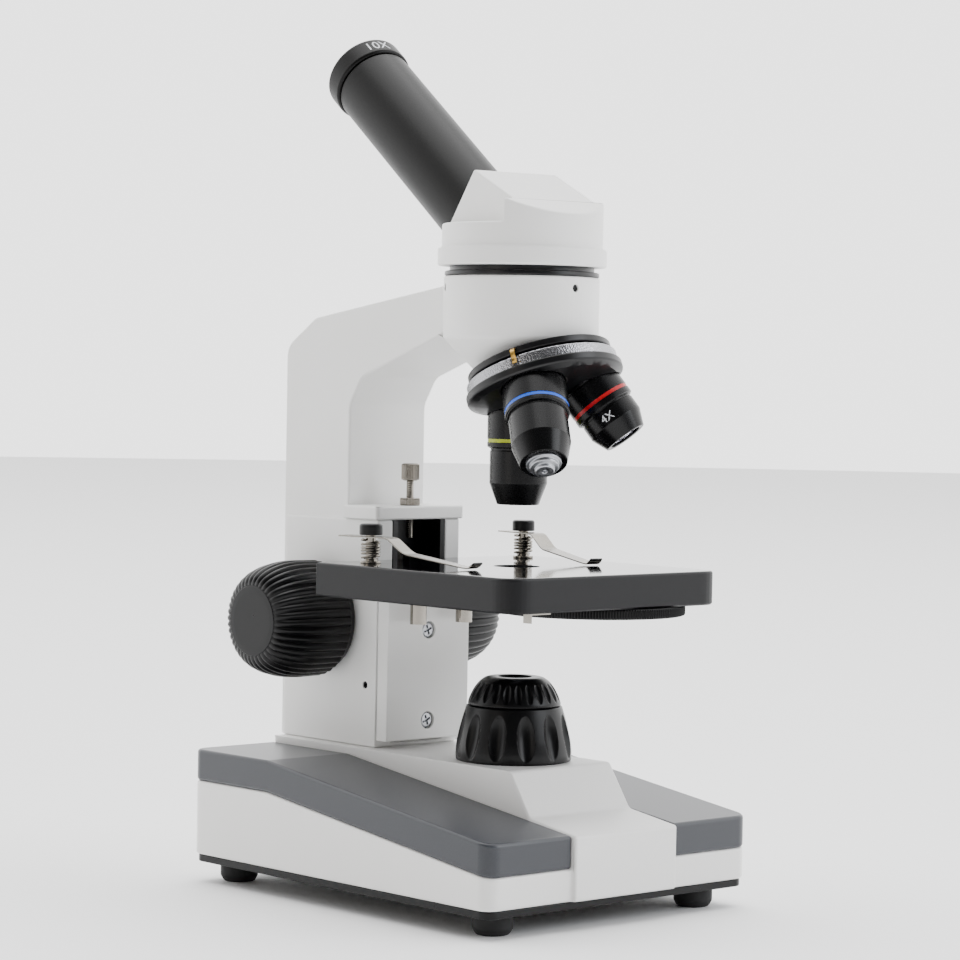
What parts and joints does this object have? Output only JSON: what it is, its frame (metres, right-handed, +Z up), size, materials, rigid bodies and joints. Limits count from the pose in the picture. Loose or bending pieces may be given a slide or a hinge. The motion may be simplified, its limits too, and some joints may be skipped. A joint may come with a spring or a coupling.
{
  "type": "microscope",
  "caption": "Upright student microscope with a sloped base, curved arm, rack-focused stage, turning objective nosepiece and inclined eyepiece tube.",
  "frame": {"origin": "on the surface that the feet stand on, under the centre of the outline", "axes": "+Z up, -Y towards the front of the base, X along the focus shaft"},
  "size_m": [0.1364, 0.1824, 0.3399],
  "materials": {
    "white_plastic": "satin white moulded plastic",
    "white_paint": "white powder paint with slight orange peel",
    "grey_paint": "satin slate grey paint",
    "black_plate": "matt black",
    "rubber": "black rubber",
    "zinc_steel": "zinc plated",
    "nickel": "nickel plated",
    "chrome_ring": "bright chrome",
    "spring_steel": "polished spring steel",
    "black_steel": "black oxide",
    "black_metal": "semi-gloss black",
    "black_anodised": "black anodised",
    "black_plastic": "semi-gloss black moulded plastic",
    "brass": "machined brass",
    "board": "green circuit board",
    "frosted_glass": "frosted glass",
    "clear_glass": "clear glass"
  },
  "bodies": {
    "stand": {"base_shell": "white_plastic", "base_trim_left": "grey_paint", "base_trim_right": "grey_paint", "bottom_plate": "black_plate", "rubber_feet": "rubber", "foot_screws": "zinc_steel", "arm": "white_paint", "arm_bolts": "zinc_steel", "stop_plate": "white_paint", "stop_lock_nut": "nickel", "guide_rail": "black_metal", "shaft_bushes": "brass", "nosepiece_flange": "black_metal", "detent_spring": "spring_steel", "head_set_screws": "black_steel", "lamp_housing": "black_plastic", "lamp_socket": "black_plastic", "lamp_bulb": "clear_glass", "power_inlet": "black_plastic", "switch_frame": "black_plastic", "driver_board": "board", "turret_screw": "nickel"},
    "lamp_top": {"lamp_cap": "black_plastic", "lamp_lens": "frosted_glass"},
    "stop": {"stop_screw": "nickel"},
    "stage": {"carriage": "white_paint", "slide_block": "black_metal", "rack": "brass", "rack_screws": "zinc_steel", "stage_plate": "black_metal", "stage_screws": "nickel", "clip_posts": "nickel", "clip_caps": "black_plastic", "clip_springs": "spring_steel", "condenser_lens": "clear_glass", "diaphragm_pivot": "nickel", "diaphragm_detent": "spring_steel"},
    "focus": {"focus_shaft": "zinc_steel", "pinion": "brass", "knob_left": "black_plastic", "knob_right": "black_plastic", "knob_caps": "black_plastic"},
    "clip_left": {"clip_leaf_left": "spring_steel"},
    "clip_right": {"clip_leaf_right": "spring_steel"},
    "diaphragm": {"disc_diaphragm": "black_plastic"},
    "turret": {"turret_ring": "chrome_ring", "turret_dome": "black_metal", "objective_4x": "black_anodised", "objective_10x": "black_anodised", "objective_40x": "black_anodised", "objective_lenses": "clear_glass"},
    "sprung_tip": {"tip_40x": "chrome_ring"},
    "head": {"head_ring": "black_metal", "head_housing": "white_paint", "prism": "clear_glass", "eyepiece_tube": "black_anodised"},
    "ocular": {"eyepiece": "black_plastic", "eyepiece_lenses": "clear_glass"},
    "switch": {"switch_rocker": "black_plastic"}
  },
  "joints": [
    {"name": "stage_focus", "type": "slide", "parent": "stand", "child": "stage", "axis": [0, 0, 1], "range_m": [-0.002, 0.018]},
    {"name": "focus_turn", "type": "hinge", "parent": "stand", "child": "focus", "pos_m": [0, 0.06175, 0.1052], "axis": [1, 0, 0], "range_deg": [-162, 18.5]},
    {"name": "turret_turn", "type": "hinge", "parent": "stand", "child": "turret", "pos_m": [0, -0.02785, 0.235], "axis": [0, -0.3746, -0.9272], "continuous": true},
    {"name": "head_turn", "type": "hinge", "parent": "stand", "child": "head", "pos_m": [0, -0.02785, 0.245], "axis": [0, 0, 1], "continuous": true},
    {"name": "eyepiece_draw", "type": "slide", "parent": "head", "child": "ocular", "axis": [0.07, 0.7998, 0.5962], "range_m": [0, 0.03]},
    {"name": "diaphragm_turn", "type": "hinge", "parent": "stage", "child": "diaphragm", "pos_m": [0.0185, -0.05035, 0.115], "axis": [0, 0, 1], "continuous": true},
    {"name": "clip_left_swing", "type": "hinge", "parent": "stage", "child": "clip_left", "pos_m": [-0.0402, 0.01195, 0.14], "axis": [0, 0, 1], "range_deg": [-50, 20]},
    {"name": "clip_right_swing", "type": "hinge", "parent": "stage", "child": "clip_right", "pos_m": [0.0402, 0.01195, 0.14], "axis": [0, 0, 1], "range_deg": [-20, 50]},
    {"name": "stop_screw_travel", "type": "slide", "parent": "stand", "child": "stop", "axis": [0, 0, 1], "range_m": [0, 0.005]},
    {"name": "tip_40x_spring", "type": "slide", "parent": "turret", "child": "sprung_tip", "axis": [0.3244, 0.521, 0.7895], "range_m": [0, 0.0015], "stiffness_N_per_m": 600},
    {"name": "lamp_cap_turn", "type": "hinge", "parent": "stand", "child": "lamp_top", "pos_m": [0, -0.02785, 0.08], "axis": [0, 0, 1], "continuous": true},
    {"name": "switch_rock", "type": "hinge", "parent": "stand", "child": "switch", "pos_m": [0.012, 0.08335, 0.027], "axis": [1, 0, 0], "range_deg": [0, 14]}
  ],
  "couplings": [
    {"joint": "focus_turn", "follows": "stage_focus", "rad_per_m": -156.25}
  ]
}
